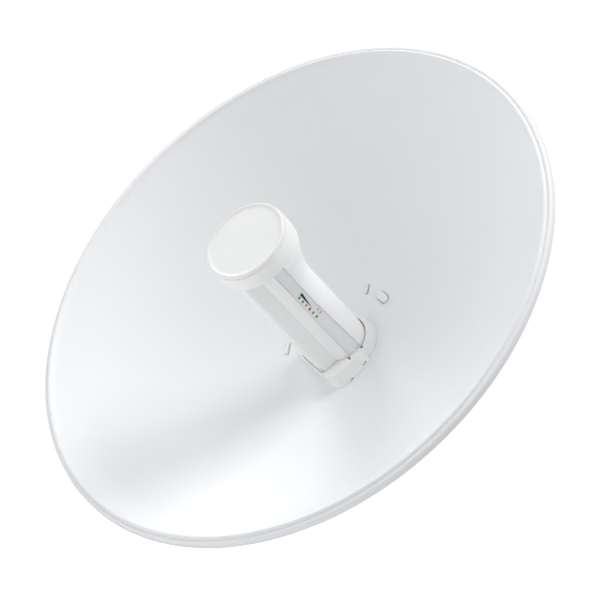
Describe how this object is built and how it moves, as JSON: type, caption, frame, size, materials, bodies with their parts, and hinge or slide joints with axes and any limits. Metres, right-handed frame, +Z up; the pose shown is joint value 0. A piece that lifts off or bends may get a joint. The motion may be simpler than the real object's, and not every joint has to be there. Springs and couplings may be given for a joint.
{
  "type": "outdoor wireless bridge",
  "caption": "Parabolic dish radio bridge with a plug-in tubular feed, status lights on its side, a moulded rear housing and a tilting steel mast clamp.",
  "frame": {"origin": "on the mast's axis, halfway up the mast clamp", "axes": "+Z up along the mast, the dish looks along -Y, +X is the side with the status lights"},
  "size_m": [0.42, 0.2573, 0.42],
  "materials": {
    "dish_paint": "smooth white powder coat",
    "white_plastic": "fine satin moulding",
    "bracket_steel": "zinc-plated pressed steel",
    "bolt_steel": "zinc-plated",
    "seal_rubber": "matt",
    "insert_brass": "machined",
    "spun_aluminium": "spun",
    "nylon": "natural nylon",
    "board_laminate": "solder mask",
    "chip_plastic": "moulded epoxy",
    "tinned_steel": "tinned",
    "jack_plastic": "moulded",
    "contact_gold": "gold-plated",
    "led_body": "clear resin",
    "lens_green": "tinted lens",
    "lens_amber": "tinted lens",
    "lens_red": "tinted lens",
    "label_film": "satin film",
    "coax_jacket": "smooth jacket"
  },
  "bodies": {
    "mast_mount": {"pole_bracket": "bracket_steel", "carriage_bolts": "bolt_steel"},
    "jaw": {"clamp_jaw": "bracket_steel", "flange_nuts": "bolt_steel"},
    "dish_head": {"dish_reflector": "dish_paint", "hub_collar": "white_plastic", "hub_gasket": "seal_rubber", "rear_housing": "white_plastic", "brass_inserts": "insert_brass", "pivot_bolts": "bolt_steel", "lock_bolts": "bolt_steel", "bolt_washers": "bolt_steel", "latch_spring": "bolt_steel", "latch_cover": "white_plastic", "latch_cover_screws": "bolt_steel"},
    "feed_radio": {"feed_housing": "white_plastic", "feed_cap": "white_plastic", "cap_seal": "seal_rubber", "subreflector": "spun_aluminium", "reflector_spacers": "nylon", "radiator_board": "board_laminate", "feed_post": "spun_aluminium", "coax_leads": "coax_jacket", "main_board": "board_laminate", "shield_can": "tinned_steel", "board_chips": "chip_plastic", "ethernet_transformer": "chip_plastic", "jack_shell": "tinned_steel", "jack_insert": "jack_plastic", "jack_contacts": "contact_gold", "status_leds": "led_body", "green_light_pipes": "lens_green", "amber_light_pipe": "lens_amber", "red_light_pipe": "lens_red", "label_strip": "label_film", "reset_switch": "chip_plastic", "end_gasket": "seal_rubber", "end_cap": "white_plastic", "end_cap_screws": "bolt_steel"},
    "reset_pin": {"reset_button": "nylon"},
    "feed_catch": {"release_latch": "white_plastic"},
    "bay_cover": {"port_cover": "white_plastic"}
  },
  "joints": [
    {"name": "elevation", "type": "hinge", "parent": "mast_mount", "child": "dish_head", "pos_m": [0, -0.054, 0.006], "axis": [-1, 0, 0], "range_deg": [-20, 20]},
    {"name": "clamp_travel", "type": "slide", "parent": "mast_mount", "child": "jaw", "axis": [0, -1, 0], "range_m": [-0.003, 0.015]},
    {"name": "feed_slide", "type": "slide", "parent": "dish_head", "child": "feed_radio", "axis": [0, -1, 0], "range_m": [0, 0.06]},
    {"name": "reset_press", "type": "slide", "parent": "feed_radio", "child": "reset_pin", "axis": [0, 0, 1], "range_m": [0, 0.0006], "stiffness_N_per_m": 800, "springref_m": -0.0002},
    {"name": "catch_lift", "type": "slide", "parent": "dish_head", "child": "feed_catch", "axis": [0, 0, 1], "range_m": [0, 0.004], "stiffness_N_per_m": 500, "springref_m": -0.003, "deforming": ["latch_spring"]},
    {"name": "cover_pull", "type": "slide", "parent": "dish_head", "child": "bay_cover", "axis": [0, 0, -1], "range_m": [0, 0.02]}
  ]
}
